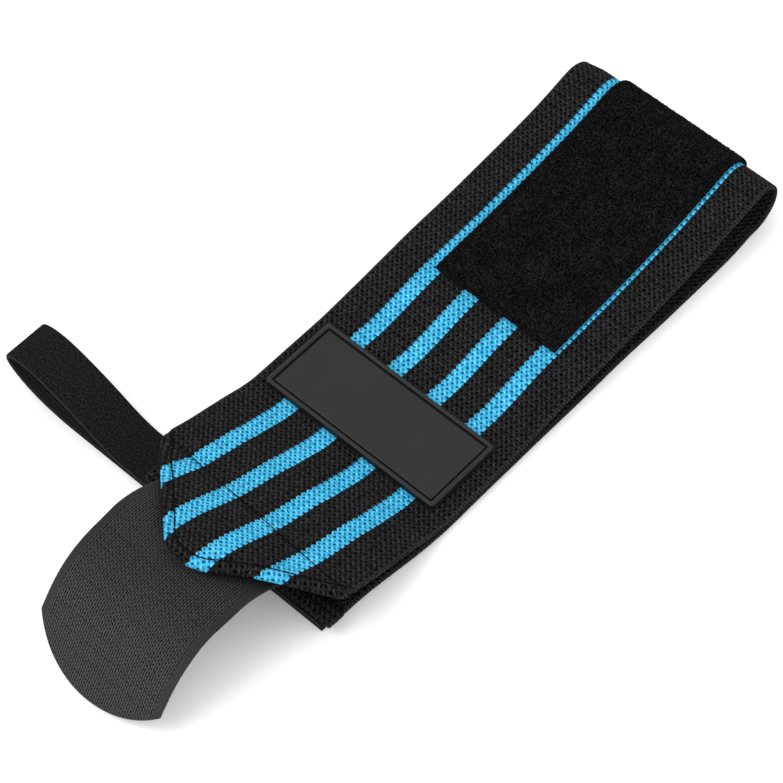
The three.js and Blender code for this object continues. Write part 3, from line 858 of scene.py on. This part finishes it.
def strap_felt(wrap):
    """Felted narrow elastic with a painted highlight along its edges."""
    n = Finish("strap_felt", specular=0.03)
    flat = n.cloth_map()
    _, across, _ = n.split(flat)
    shade, fuzz = n.fibre(flat, slow=160.0, fine=1550.0)
    # Painted highlight: the edges are lit to four times the felt's colour
    edge = n.step(abs(across), *STRAP_EDGE_HIGHLIGHT) * 0.8
    tint = n.mix(edge, n.shaded(fuzz, wrap.strap, 0.1, 2.0), times(wrap.strap, 4.0))
    return n.done(tint, shade * 0.1 + 0.88, n.bump(fuzz, 0.5, 0.15 * MM))


def strap_cores(wrap):
    """Inner face of the narrow elastic, with its rubber cores showing as lengthwise lines."""
    n = Finish("strap_cores", specular=0.08)
    flat = n.cloth_map()
    along, across, _ = n.split(flat)
    shade, fuzz = n.fibre(n.stretch(flat, 0.3, 1.0), slow=160.0, fine=2600.0)
    core, pick = n.wave(across, 1.15 * MM), n.wave(along, 0.7 * MM)
    relief = core * 0.4 + (pick * 0.12 + 0.5)
    tint = n.shaded(fuzz * 0.4 + relief * 0.6, wrap.strap, 0.2, 2.4)
    return n.done(tint, shade * 0.15 + 0.8, n.bump(relief, 0.6, 0.25 * MM))


def fine_filament(wrap):
    """Thin dark filament of the sewing thread and the hooks."""
    n = Finish("fine_filament", specular=0.02)
    shade, fuzz = n.fibre(n.place(), slow=300.0, fine=5200.0)
    tint = n.shaded(fuzz, wrap.thread, 0.5, 1.5)
    return n.done(tint, shade * 0.2 + 0.6, n.bump(fuzz, 0.5, 0.08 * MM))


def studio_floor():
    """Pale matt paper."""
    n = Finish("studio_floor", specular=0.05)
    return n.done(n.shaded(n.noise(n.place(), 40.0, 3.0), (1, 1, 1), 0.93, 0.95), 0.95)


def finish_of(make, wrap):
    """The material of that name, made on first use."""
    return bpy.data.materials.get(make.__name__) or make(wrap)


def pointed_end():
    """Hem lines of the pointed end in the flat cut: diagonals, blunt tip and its corners."""
    left = (BAND.place_of(CORNER_LEFT), BAND_HALF)
    right = (BAND.place_of(CORNER_RIGHT), -BAND_HALF)
    tip_left, tip_right = (BAND.length, TIP_LEFT), (BAND.length, TIP_RIGHT)
    sides = ((tip_left, left), (tip_right, tip_left), (right, tip_right))
    lines = [line_through(*ends) for ends in sides]
    lines = [(co, no if no.x > 0 else -no) for co, no in lines]
    corners = []
    for first, second, corner in zip(lines, lines[1:], (tip_left, tip_right)):
        way = (first[1] + second[1]).normalized()
        corners.append((Vector((*corner, 0)) - way * TIP_CUT, way))
    return [lines[0], corners[0], lines[1], corners[1], lines[2]]


def band_cut(wrap):
    """The band with its hems folded, the shares of its wall, and the flat cut's area and length."""
    radius = (wrap.band_wall + wrap.gap) / 2
    roll = radius + wrap.band_wall / 2
    start = wrap.hem_reach - roll
    bm = flat_cloth(wrap.hem_reach, BAND.length, -BAND_HALF, BAND_HALF, wrap.mesh_step)
    lines = [shifted(line, wrap.hem_reach) for line in pointed_end()]
    for line in lines:
        cut(bm, line)
    straight = [(Vector((wrap.hem_reach, 0, 0)), Vector((-1, 0, 0)))]
    rows = side_rows(BAND_HALF, (0, *RIM_ROWS))
    seam = line_through(*cross_seam())
    sewn = [shifted(seam, beside) for beside in (-SEAM_HALF, 0, SEAM_HALF)]
    for line in rows + sewn:
        cut(bm, line, clear=False)
    weld_short(bm, lines + straight + rows + sewn)
    sewn = [v for v in bm.verts if on_line(seam, v)]
    stitch = wrap.hem_reach - STITCH_INSET
    steps = hem_steps(start, radius, wrap.flap_reach, stitch, STITCH_SUNK, POINT_PUFF)
    point = extrude_hem(bm, lines, steps)
    steps = hem_steps(start, radius, wrap.hem_turn, stitch, HEM_SUNK, STRAIGHT_PUFF)
    hem = extrude_hem(bm, straight, steps)
    base = {fold.vert: fold.base for fold in point + hem}
    shares = edge_share([BAND_HALF - abs(base.get(v, v.co).y) for v in bm.verts])
    hidden = {f.vert for f in point if f.reach > start + math.pi * radius}
    unwrap(bm, hidden)
    for fold in point + hem:
        fold.vert.co = fold.base + (fold.out + fold.slide) * fold.reach
    area = sum(f.calc_area() for f in bm.faces)
    along = [v.co.x for v in bm.verts]
    length = max(along) - min(along)
    fold_hem(point, start, radius)
    fold_hem(hem, start, radius)
    open_corner(point, start + math.pi * radius)
    for vert in sewn:
        vert.co.z -= SEAM_SUNK
    for fold in hem:
        turned = min(max(fold.reach - start, 0) / (math.pi * radius), 1)
        fold.vert.co.y *= 1 + HEM_BULGE / BAND_HALF * turned
    return bm, shares, area, length


def cross_seam():
    """Ends of the seam across the pointed end in the flat cut."""
    return (BAND.place_of(SEAM_LEFT), SEAM_END), (BAND.place_of(SEAM_RIGHT), -SEAM_END)


def open_corner(folds, roll_end):
    """The folded corner on the far side from the thumb loop hangs a little open."""
    corner = Vector((BAND.place_of(CORNER_RIGHT), -BAND_HALF, 0))
    for fold in folds:
        if fold.out.y < 0 and fold.reach > roll_end:
            near = 1 - smoothstep((fold.base - corner).length, 0, FLAP_OPEN)
            side = np.clip((FLAP_HINGE - fold.vert.co.y) / (BAND_HALF + FLAP_HINGE), 0, 1)
            past = min((fold.reach - roll_end) / FLAP_STEP, 1)
            fold.vert.co.z -= FLAP_DROOP * float(near * side) * past


def aimed(name, data, place, aim):
    """A camera or a lamp at a place, turned to its aim."""
    made = bpy.data.objects.new(name, data)
    made.location = place
    made.rotation_mode = "QUATERNION"
    made.rotation_quaternion = (aim - Vector(place)).to_track_quat("-Z", "Y")
    bpy.context.scene.collection.objects.link(made)
    return made


AIM = Vector((0, 6.48 * MM, 0))
SKY_LIGHT = 1.19
# Lamps: name, place in metres, size and power
LAMPS = (
    ("key light", (-0.55, 0.35, 1.15), 0.7, 6.2),
    ("fill light", (0.7, -0.75, 0.9), 0.9, 2.0),
    ("low light", (-0.75, -0.7, 0.4), 0.6, 1.2),
)


class WRAP_OT_stage(bpy.types.Operator):
    """Pale floor, soft light and the camera"""
    bl_idname = "wrist_wrap.stage"
    bl_label = "Stage"

    def execute(self, context):
        wrap = context.scene.wrist_wrap
        bm = bmesh.new()
        bmesh.ops.create_grid(bm, x_segments=8, y_segments=8, size=3.0)
        mesh = bpy.data.meshes.new("floor")
        bm.to_mesh(mesh)
        bm.free()
        mesh.materials.append(studio_floor())
        floor = bpy.data.objects.new("floor", mesh)
        context.scene.collection.objects.link(floor)
        a, e = wrap.camera_azimuth, wrap.camera_elevation
        back = Vector((math.sin(a) * math.cos(e), -math.cos(a) * math.cos(e), math.sin(e)))
        lens = bpy.data.cameras.new("camera")
        lens.lens, lens.sensor_width = wrap.camera_lens, 36
        lens.clip_start, lens.clip_end = 0.01, 20
        context.scene.camera = aimed("camera", lens, AIM + back * wrap.camera_distance, AIM)
        world = context.scene.world or bpy.data.worlds.new("studio")
        context.scene.world = world
        world.use_nodes = True
        sky = world.node_tree.nodes["Background"].inputs
        sky["Color"].default_value = (1, 1, 1, 1)
        sky["Strength"].default_value = SKY_LIGHT
        for name, place, size, power in LAMPS:
            lamp = bpy.data.lights.new(name, "AREA")
            lamp.size, lamp.energy = size, power
            aimed(name, lamp, place, AIM)
        context.scene.view_settings.view_transform = "Standard"
        return {"FINISHED"}


THREAD_SUNK = 0.05 * MM      # thread lies this deep in the cloth
HEM_THREAD_SUNK = 0.16 * MM  # and this deep in the groove of the pointed hem
THREAD_BELOW = 0.02 * MM     # it stands this far out of the turned straight hem
POINT_THREAD_END, STRAIGHT_THREAD_END = 0.6 * MM, 1.5 * MM  # from the selvedge
PANEL_STITCH = 1.0 * MM      # panel stitches from its edges


class WRAP_OT_seams(bpy.types.Operator):
    """Rows of thread along the hems, the cross seam and the panel"""
    bl_idname = "wrist_wrap.seams"
    bl_label = "Seams"

    def execute(self, context):
        wrap = context.scene.wrist_wrap
        wall = wrap.band_wall
        lines = [shifted(line, STITCH_INSET) for line in pointed_end()]
        side = BAND_HALF - POINT_THREAD_END
        corners = [on_line_at(lines[0], side)]
        corners += [meeting(first, second) for first, second in zip(lines, lines[1:])]
        corners.append(on_line_at(lines[-1], -side))
        rows = [(*ends, wall / 2 - HEM_THREAD_SUNK) for ends in zip(corners, corners[1:])]
        top = wall / 2 - THREAD_SUNK
        rows.append((*cross_seam(), top - THREAD_SUNK))
        below = -(1.5 * wall + wrap.gap) - THREAD_BELOW
        side = BAND_HALF - STRAIGHT_THREAD_END
        rows += [((STITCH_INSET, -side), (STITCH_INSET, side), lift) for lift in (below, top)]
        panel = wall / 2 + wrap.gap + wrap.panel_wall - 2 * THREAD_SUNK
        first, last = panel_span()
        first, last = first + PANEL_STITCH, last - PANEL_STITCH
        left, right = PANEL_LEFT - PANEL_STITCH, PANEL_RIGHT + PANEL_STITCH
        rows += [((first, side), (last, side), panel) for side in (left, right)]
        rows += [((end, right), (end, left), panel) for end in (first, last)]
        places = [place for row in rows for place in stitch_row(*row, wall)]
        thread = bmesh.new()
        bmesh.ops.create_uvsphere(thread, u_segments=6, v_segments=5, radius=1)
        repeat("seams", thread, places, finish_of(fine_filament, wrap))
        return {"FINISHED"}


def meeting(first, second):
    """Where two lines of the flat cut meet."""
    way = Vector((-first[1].y, first[1].x, 0))
    t = (second[0] - first[0]).dot(second[1]) / way.dot(second[1])
    return tuple((first[0] + way * t).xy)


def on_line_at(line, across):
    return (line[0].x - (across - line[0].y) * line[1].y / line[1].x, across)


def stitch_row(first, last, lift, wall):
    """Matrices that set one thread spindle for every stitch between two points of the flat cut."""
    first, last = Vector(first), Vector(last)
    count = max(1, round((last - first).length / STITCH_PITCH))
    flat = np.array([(*first.lerp(last, k / count), lift) for k in range(count + 1)])
    above = lay_on_band(flat + (0, 0, 1 * MM), wall)
    laid = lay_on_band(flat, wall)
    places = []
    for a, b, up_a in zip(laid, laid[1:], above):
        along = Vector(b - a)
        side = Vector(up_a - a).cross(along).normalized() * STITCH_THICK
        up = along.cross(side).normalized() * STITCH_THICK
        places.append(placed((a + b) / 2, along * STITCH_HALF, side, up))
    return places


def panel_span():
    """Where the loop panel starts and ends along the band."""
    low = FOLD_RADIUS * MM * (1 + math.sin(math.radians(PANEL_END)))
    rising = BAND.line[:BAND.turn]
    ahead = np.nonzero((rising[:, 0] > FOLD_AXIS[0] * MM) & (rising[:, 1] < low))[0]
    return float(BAND.place[ahead[-1]]), BAND.place_of(PANEL_X)


PILE_SEED = 7
LOOP_RADIUS, LOOP_YARN, LOOP_SUNK = 0.33 * MM, 0.065 * MM, 0.12 * MM
LOOP_LEAN, LOOP_SIZES = 0.7, (0.7, 1.25)  # lean to either side in radians, and share of full size
PILE_MARGIN = 1.1 * MM       # bare edge of the panel
PILE_EDGE = (0.6 * MM, 1.4 * MM)  # its surface turns rough between these distances from its edge
PILE_LIFT = 0.05 * MM
PANEL_GROUND = 0.9           # share of the panel's wall that is ground, the rest is pile
PANEL_SOFT = 0.3 * MM        # rounding of its edges


class WRAP_OT_pile(bpy.types.Operator):
    """Loops of the panel's pile"""
    bl_idname = "wrist_wrap.pile"
    bl_label = "Loop pile"

    def execute(self, context):
        wrap = context.scene.wrist_wrap
        draw = np.random.default_rng(PILE_SEED)
        first, last = panel_span()
        count = wrap.pile_loops
        along = draw.uniform(first + PILE_MARGIN, last - PILE_MARGIN, count)
        across = draw.uniform(PANEL_RIGHT + PILE_MARGIN, PANEL_LEFT - PILE_MARGIN, count)
        turn = draw.uniform(0, 2 * math.pi, count)
        lean = draw.uniform(-LOOP_LEAN, LOOP_LEAN, count)
        size = draw.uniform(*LOOP_SIZES, count)
        lift = wrap.band_wall / 2 + wrap.gap + wrap.panel_wall - LOOP_SUNK
        flat = np.stack((along, across, np.full(count, lift)), 1)
        laid = lay_on_band(flat, wrap.band_wall)
        above = lay_on_band(flat + (0, 0, 1 * MM), wrap.band_wall) - laid
        places = []
        for p, up, t, w, s in zip(laid, above, turn, lean, size):
            stand = Vector(up).to_track_quat("Z", "Y").to_matrix().to_4x4()
            turned = Matrix.Rotation(t, 4, "Z") @ Matrix.Rotation(w, 4, "X")
            scaled = Matrix.Diagonal((s, s, s, 1))
            places.append(np.array(Matrix.Translation(p) @ stand @ turned @ scaled))
        loop = bmesh.new()
        bmesh.ops.create_circle(loop, segments=3, radius=LOOP_YARN,
                                matrix=Matrix.Translation((LOOP_RADIUS, 0, 0)))
        bmesh.ops.spin(loop, geom=loop.edges[:], cent=(0, 0, 0), axis=(0, -1, 0),
                       angle=math.pi, steps=4)
        repeat("pile_loops", closed(loop), places, finish_of(panel_pile, wrap))
        return {"FINISHED"}


class WRAP_OT_panel(bpy.types.Operator):
    """Loop panel sewn over the fold"""
    bl_idname = "wrist_wrap.panel"
    bl_label = "Loop panel"

    def execute(self, context):
        wrap = context.scene.wrist_wrap
        first, last = panel_span()
        bm = flat_cloth(first, last, PANEL_RIGHT, PANEL_LEFT, PANEL_STEP)
        area = unwrap(bm)
        flat = points_of(bm)
        edge = np.minimum.reduce((flat[:, 0] - first, last - flat[:, 0],
                                  flat[:, 1] - PANEL_RIGHT, PANEL_LEFT - flat[:, 1]))
        inside = smoothstep(edge, *PILE_EDGE)
        rough = sum(wavy(flat, *wave) for wave in PILE_WAVES)
        middle = wrap.band_wall / 2 + wrap.gap + wrap.panel_wall / 2
        flat[:, 2] = middle + inside * (rough + PILE_LIFT)
        move_points(bm, lay_on_band(flat, wrap.band_wall))
        finishes = [finish_of(panel_pile, wrap)]
        panel = shown("loop_panel_cloth", bm, finishes, "loop_panel")
        thicken(panel, wrap.panel_wall * PANEL_GROUND)
        soften(panel, PANEL_SOFT, segments=2)
        return {"FINISHED"}


class WRAP_OT_band(bpy.types.Operator):
    """Elastic band with its folded hems"""
    bl_idname = "wrist_wrap.band"
    bl_label = "Band"

    def execute(self, context):
        wrap = context.scene.wrist_wrap
        bm, shares, area, length = band_cut(wrap)
        move_points(bm, lay_on_band(points_of(bm), wrap.band_wall))
        band = shown("band_cloth", bm, [finish_of(band_weave, wrap)], "band")
        thicken(band, wrap.band_wall, shares=shares)
        return {"FINISHED"}


# Profile of the patch from its outer wall over the rim and the groove to the field:
# inset and height in millimetres
PATCH_PROFILE = (
    (0, 0), (0, 1.65), (0.08, 1.9), (0.25, 2.08), (0.5, 2.18), (0.8, 2.2), (1.15, 2.17),
    (1.38, 2.06), (1.5, 1.85), (1.56, 1.25), (1.68, 0.95), (1.96, 0.95), (2.08, 1.25),
    (2.16, 1.6), (2.28, 1.74), (2.6, 1.78), (5, 1.8),
)
PATCH_ROUND, FIELD_ROUND = 1.6, 0.35  # corner radius at the outer wall, and the least further in


def rounded_ring(bm, matrix, radius):
    """Edges of a rounded rectangle set by a matrix."""
    known = set(bm.faces)
    made = bmesh.ops.create_grid(bm, x_segments=1, y_segments=1, size=0.5, matrix=matrix)
    bmesh.ops.bevel(bm, geom=made["verts"], offset=radius, affect="VERTICES", segments=6,
                    profile=0.5, material=-1)
    face = [f for f in bm.faces if f not in known]
    edges = [e for f in face for e in f.edges]
    bmesh.ops.delete(bm, geom=face, context="FACES_ONLY")
    return edges


class WRAP_OT_patch(bpy.types.Operator):
    """Moulded rubber patch with a rim, a groove and a bare field"""
    bl_idname = "wrist_wrap.patch"
    bl_label = "Patch"

    def execute(self, context):
        wrap = context.scene.wrist_wrap
        low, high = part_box("patch")
        size, middle = high - low, (low + high) / 2
        bm = bmesh.new()
        rings = []
        for inset, rise in PATCH_PROFILE:
            place = Matrix.Translation((middle.x, middle.y, low.z + rise * MM))
            wide = Matrix.Diagonal((size.x - 2 * inset * MM, size.y - 2 * inset * MM, 1, 1))
            rings.append(rounded_ring(bm, place @ wide, max(PATCH_ROUND - inset, FIELD_ROUND) * MM))
        for first, second in zip(rings, rings[1:]):
            bmesh.ops.bridge_loops(bm, edges=first + second)
        bmesh.ops.holes_fill(bm, edges=rings[0] + rings[-1])
        bmesh.ops.recalc_face_normals(bm, faces=bm.faces)
        finishes = [finish_of(moulded_rubber, wrap)]
        patch = shown("rubber_patch", bm, finishes, "patch")
        patch.data.set_sharp_from_angle(angle=math.radians(50))
        return {"FINISHED"}


HOOK_PITCH = 1.55 * MM
HOOK_MARGIN, HOOK_END = 2 * MM, 1.5 * MM  # bare sides and bare end of the tape
HOOK_FROM = 4 * MM           # first row past the tip
HOOK_CLEAR = 1.6 * MM        # lowest place above the ground
HOOK_SUNK = 0.05 * MM        # hooks stand this deep in the tape
HOOK_TALL, HOOK_BEND, HOOK_WIRE = 0.45 * MM, 0.26 * MM, 0.11 * MM


def small_hook():
    """An upright wire with its end bent over."""
    hook = bmesh.new()
    bmesh.ops.create_circle(hook, segments=4, radius=HOOK_WIRE)
    grown = bmesh.ops.extrude_edge_only(hook, edges=hook.edges[:])["geom"]
    top = [g for g in grown if isinstance(g, bmesh.types.BMVert)]
    bmesh.ops.translate(hook, verts=top, vec=(0, 0, HOOK_TALL))
    rim = [e for e in hook.edges if e.is_boundary and all(v in top for v in e.verts)]
    bmesh.ops.spin(hook, geom=rim, cent=(HOOK_BEND, 0, HOOK_TALL), axis=(0, 1, 0),
                   angle=math.radians(200), steps=4)
    return closed(hook)


class WRAP_OT_hooks(bpy.types.Operator):
    """Small hooks on the underside of the tongue"""
    bl_idname = "wrist_wrap.hooks"
    bl_label = "Hooks"

    def execute(self, context):
        wrap = context.scene.wrist_wrap
        wall = wrap.tongue_wall
        course = tongue_course(wrap.band_wall, wrap.gap)
        start = BAND.length - BAND.place_of(TONGUE_IN) + HOOK_FROM
        edge = TONGUE_HALF - HOOK_MARGIN
        flat = []
        for i, along in enumerate(np.arange(start, course.length - HOOK_END, HOOK_PITCH)):
            for across in np.arange(-edge, edge, HOOK_PITCH):
                side = across + (i % 2) * HOOK_PITCH / 2
                radius = TONGUE_R_LEFT if side > 0 else TONGUE_R_RIGHT
                past = max(0, along - (course.length - radius))
                if math.hypot(past, side) < radius - HOOK_END:
                    flat.append((along, side, -wall / 2 + HOOK_SUNK))
        flat = np.array(flat)
        laid = lay_on_tongue(flat, course, wall)
        below = lay_on_tongue(flat - (0, 0, 1 * MM), course, wall) - laid
        ahead = lay_on_tongue(flat + (0.5 * MM, 0, 0), course, wall) - laid
        places = []
        for k, (place, down, along) in enumerate(zip(laid, below, ahead)):
            z = Vector(down).normalized()
            y = z.cross(Vector(along)).normalized() * (1 if k % 2 else -1)
            if place[2] > HOOK_CLEAR:
                places.append(placed(place, y.cross(z), y, z))
        repeat("tongue_hooks", small_hook(), places, finish_of(fine_filament, wrap))
        return {"FINISHED"}


class WRAP_OT_tongue(bpy.types.Operator):
    """Hook tongue with a rounded end"""
    bl_idname = "wrist_wrap.tongue"
    bl_label = "Tongue"

    def execute(self, context):
        wrap = context.scene.wrist_wrap
        course = tongue_course(wrap.band_wall, wrap.gap)
        bm = flat_cloth(0, course.length, -TONGUE_HALF, TONGUE_HALF, TONGUE_STEP)
        ahead = Vector((1, 0, 0))
        end_rows = [(ahead * (course.length - inset), ahead) for inset in RIM_ROWS]
        for line in side_rows(TONGUE_HALF) + end_rows:
            cut(bm, line, clear=False)
        flat = points_of(bm)
        inside = np.minimum(course.length - flat[:, 0], TONGUE_HALF - np.abs(flat[:, 1]))
        shares = edge_share(inside)
        radius = np.where(flat[:, 1] > 0, TONGUE_R_LEFT, TONGUE_R_RIGHT)
        back = radius - np.sqrt(radius ** 2 - flat[:, 1] ** 2)
        flat[:, 0] *= 1 - back / course.length
        move_points(bm, flat)
        area = unwrap(bm)
        free = smoothstep(flat[:, 0], *TONGUE_LEAVES)
        free *= 1 - smoothstep(flat[:, 0], course.length - TONGUE_LANDS, course.length)
        flat[:, 2] += free * wavy(flat, *TONGUE_WAVE)
        move_points(bm, lay_on_tongue(flat, course, wrap.tongue_wall))
        tongue = shown("tongue_tape", bm, [finish_of(tape_back, wrap)], "hook_tongue")
        thicken(tongue, wrap.tongue_wall, shares=shares)
        return {"FINISHED"}


class WRAP_OT_strap(bpy.types.Operator):
    """Thumb loop strap doubled under the straight end"""
    bl_idname = "wrist_wrap.strap"
    bl_label = "Thumb strap"

    def execute(self, context):
        wrap = context.scene.wrist_wrap
        half = (STRAP_X1 - STRAP_X0) / 2
        bm = flat_cloth(0, STRAP.length, -half, half, STRAP_STEP)
        for line in side_rows(half):
            cut(bm, line, clear=False)
        area = unwrap(bm)
        flat = points_of(bm)
        move_points(bm, lay_on_strap(flat, wrap.strap_wall))
        finishes = [finish_of(strap_felt, wrap), finish_of(strap_cores, wrap)]
        strap = shown("thumb_strap", bm, finishes, "thumb_loop")
        thicken(strap, wrap.strap_wall, inner=1, shares=edge_share(half - np.abs(flat[:, 1])))
        return {"FINISHED"}


OPERATORS = (
    WRAP_OT_stage, WRAP_OT_strap, WRAP_OT_seams, WRAP_OT_pile, WRAP_OT_hooks,
    WRAP_OT_band, WRAP_OT_panel, WRAP_OT_tongue, WRAP_OT_patch,
)


class WRAP_PT_panel(bpy.types.Panel):
    """Pieces and sizes of the wrist wrap"""
    bl_idname = "WRAP_PT_panel"
    bl_label = "Wrist wrap"
    bl_space_type = "VIEW_3D"
    bl_region_type = "UI"
    bl_category = "Wrist wrap"

    def draw(self, context):
        for operator in OPERATORS:
            self.layout.operator(operator.bl_idname)
        for name in WrapSettings.__annotations__:
            self.layout.prop(context.scene.wrist_wrap, name)


CLASSES = (WrapSettings, *OPERATORS, WRAP_PT_panel)


def register():
    for made in CLASSES:
        bpy.utils.register_class(made)
    bpy.types.Scene.wrist_wrap = PointerProperty(type=WrapSettings)


def unregister():
    del bpy.types.Scene.wrist_wrap
    for made in reversed(CLASSES):
        bpy.utils.unregister_class(made)


def main():
    register()
    for operator in OPERATORS:
        group, name = operator.bl_idname.split(".")
        getattr(getattr(bpy.ops, group), name)()


if __name__ == "__main__":
    main()
